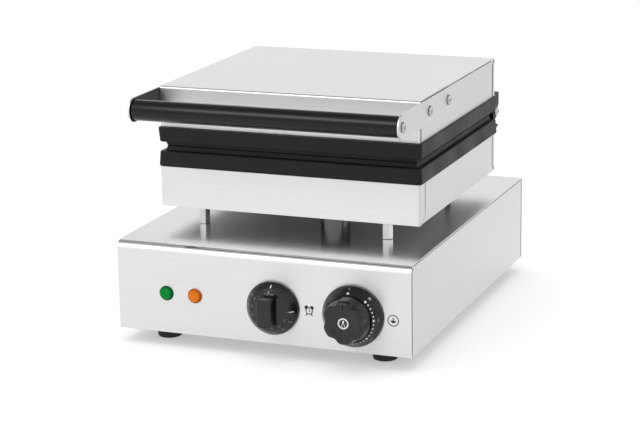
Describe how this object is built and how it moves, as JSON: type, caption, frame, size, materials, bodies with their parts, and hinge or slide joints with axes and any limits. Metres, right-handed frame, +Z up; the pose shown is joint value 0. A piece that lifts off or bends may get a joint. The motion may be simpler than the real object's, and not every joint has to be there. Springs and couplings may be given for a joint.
{
  "type": "waffle stick maker",
  "caption": "Countertop waffle stick maker with a hinged lid, cast cooking plates on posts over a steel base, a timer knob and a thermostat knob.",
  "frame": {"origin": "middle of the overall box in plan, on the counter under the feet", "axes": "+Z up, front and knobs towards -Y, +X to the right seen from the front"},
  "size_m": [0.3, 0.405, 0.2405],
  "materials": {
    "brushed_stainless": "brushed",
    "polished_steel": "polished",
    "galvanised_steel": "galvanised sheet",
    "zinc_plated_steel": "plated",
    "heater_sheath": "heat stained",
    "black_coated_cast": "black non-stick coated",
    "black_rubber": "matt",
    "black_phenolic": "satin",
    "dark_plastic": "moulded",
    "terminal_ceramic": "unglazed",
    "green_lens": "translucent",
    "orange_lens": "translucent"
  },
  "bodies": {
    "base": {"base_shell": "brushed_stainless", "bottom_cover": "galvanised_steel", "conduit_fitting_base": "zinc_plated_steel", "cord_gland": "dark_plastic", "flexible_conduit": "polished_steel", "foot_front_left": "black_rubber", "foot_front_right": "black_rubber", "foot_rear_left": "black_rubber", "foot_rear_right": "black_rubber", "foot_screw_front_left": "zinc_plated_steel", "foot_screw_front_right": "zinc_plated_steel", "foot_screw_rear_left": "zinc_plated_steel", "foot_screw_rear_right": "zinc_plated_steel", "green_lamp_body": "dark_plastic", "green_lens": "green_lens", "hinge_bolt_left": "zinc_plated_steel", "hinge_bolt_right": "zinc_plated_steel", "lower_heater": "heater_sheath", "lower_heater_clamp": "galvanised_steel", "lower_housing": "brushed_stainless", "lower_pan": "galvanised_steel", "lower_plate": "black_coated_cast", "lower_plate_bed": "black_coated_cast", "orange_lamp_body": "dark_plastic", "orange_lens": "orange_lens", "post_front_left": "polished_steel", "post_front_right": "polished_steel", "post_rear_left": "polished_steel", "post_rear_right": "polished_steel", "post_screw_front_left": "zinc_plated_steel", "post_screw_front_right": "zinc_plated_steel", "post_screw_rear_left": "zinc_plated_steel", "post_screw_rear_right": "zinc_plated_steel", "terminal_block": "terminal_ceramic", "thermostat_body": "dark_plastic", "thermostat_capillary": "polished_steel", "timer_body": "dark_plastic", "wiring_tube": "polished_steel", "wiring_tube_nut": "zinc_plated_steel"},
    "lid": {"lid_cover": "brushed_stainless", "upper_plate": "black_coated_cast", "upper_plate_bed": "black_coated_cast", "upper_heater": "heater_sheath", "upper_heater_clamp": "galvanised_steel", "handle_grip": "black_phenolic", "handle_rod": "zinc_plated_steel", "handle_bracket_left": "brushed_stainless", "handle_bracket_right": "brushed_stainless", "handle_screw_left": "polished_steel", "handle_screw_right": "polished_steel", "bracket_screw_front_left": "polished_steel", "bracket_screw_front_right": "polished_steel", "bracket_screw_rear_left": "polished_steel", "bracket_screw_rear_right": "polished_steel", "conduit_fitting_lid": "zinc_plated_steel"},
    "timer_dial": {"timer_knob": "black_phenolic", "timer_shaft": "zinc_plated_steel"},
    "thermostat_dial": {"thermostat_knob": "black_phenolic", "thermostat_shaft": "zinc_plated_steel"}
  },
  "joints": [
    {"name": "lid_hinge", "type": "hinge", "parent": "base", "child": "lid", "pos_m": [0, 0.1565, 0.1804], "axis": [-1, 0, 0], "range_deg": [0, 100], "deforming": ["flexible_conduit"]},
    {"name": "timer_turn", "type": "hinge", "parent": "base", "child": "timer_dial", "pos_m": [0.0123, -0.1745, 0.04964], "axis": [0, 1, 0], "range_deg": [0, 260]},
    {"name": "thermostat_turn", "type": "hinge", "parent": "base", "child": "thermostat_dial", "pos_m": [0.093, -0.1745, 0.04964], "axis": [0, 1, 0], "range_deg": [0, 315]}
  ]
}
